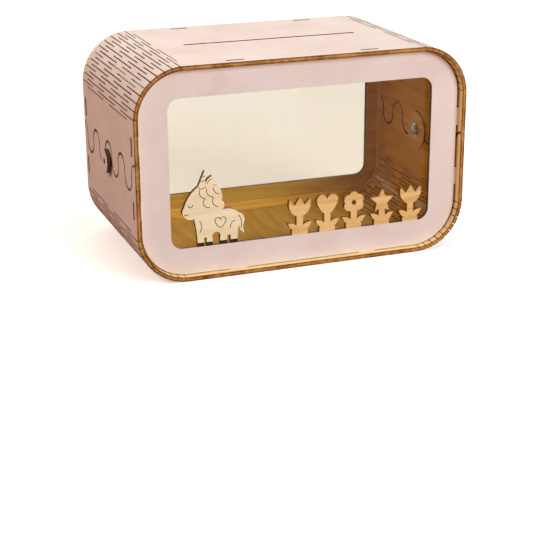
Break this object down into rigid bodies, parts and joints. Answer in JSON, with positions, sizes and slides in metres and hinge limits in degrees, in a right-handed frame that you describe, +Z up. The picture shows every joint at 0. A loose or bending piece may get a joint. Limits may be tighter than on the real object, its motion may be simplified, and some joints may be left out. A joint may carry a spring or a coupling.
{
  "type": "wooden money box",
  "caption": "Rounded plywood money box with living-hinge corners, clear windows front and back, a coin slot on top, wavy side seams and turning side knobs.",
  "frame": {"origin": "middle of the flat bottom face, on the surface the box stands on", "axes": "+X along the width to the viewer's right, front window faces -Y, +Z up"},
  "size_m": [0.2518, 0.14, 0.15],
  "materials": {
    "pink_shell": "plywood sheet, pale pink matt paint outside, natural veneer inside, laser-burnt edges",
    "pink_frame": "plywood, pale pink matt paint on the outer face, laser-burnt edges",
    "natural_plywood": "golden natural birch veneer, laser-burnt edges",
    "pale_plywood": "pale natural veneer with burnt engraving and edges",
    "clear_acrylic": "clear cast acrylic sheet, glossy",
    "zinc_steel": "bright zinc-plated steel"
  },
  "bodies": {
    "case": {"upper_shell": "pink_shell", "lower_shell": "pink_shell", "front_frame": "pink_frame", "back_frame": "pink_frame", "front_pane": "clear_acrylic", "back_pane": "clear_acrylic", "unicorn": "pale_plywood", "tulip_left": "natural_plywood", "heart_flower": "natural_plywood", "daisy": "natural_plywood", "star_flower": "natural_plywood", "tulip_right": "natural_plywood"},
    "left_flap": {"upper_left_flap": "pink_shell"},
    "left_lock": {"left_knob": "pink_frame", "left_inner_disc": "pink_frame", "left_washer": "zinc_steel", "left_screw": "zinc_steel"},
    "right_flap": {"upper_right_flap": "pink_shell"},
    "right_lock": {"right_knob": "pink_frame", "right_inner_disc": "pink_frame", "right_washer": "zinc_steel", "right_screw": "zinc_steel"}
  },
  "joints": [
    {"name": "left_flap_swing", "type": "hinge", "parent": "case", "child": "left_flap", "pos_m": [-0.1225, 0, 0.114], "axis": [0, 1, 0], "range_deg": [0, 25], "stiffness_Nm_per_rad": 0.05, "springref_deg": -5.73},
    {"name": "left_lock_turn", "type": "hinge", "parent": "case", "child": "left_lock", "pos_m": [-0.1225, 0, 0.072], "axis": [-1, 0, 0], "continuous": true},
    {"name": "right_flap_swing", "type": "hinge", "parent": "case", "child": "right_flap", "pos_m": [0.1225, 0, 0.114], "axis": [0, -1, 0], "range_deg": [0, 25], "stiffness_Nm_per_rad": 0.05, "springref_deg": -5.73},
    {"name": "right_lock_turn", "type": "hinge", "parent": "case", "child": "right_lock", "pos_m": [0.1225, 0, 0.072], "axis": [1, 0, 0], "continuous": true}
  ]
}
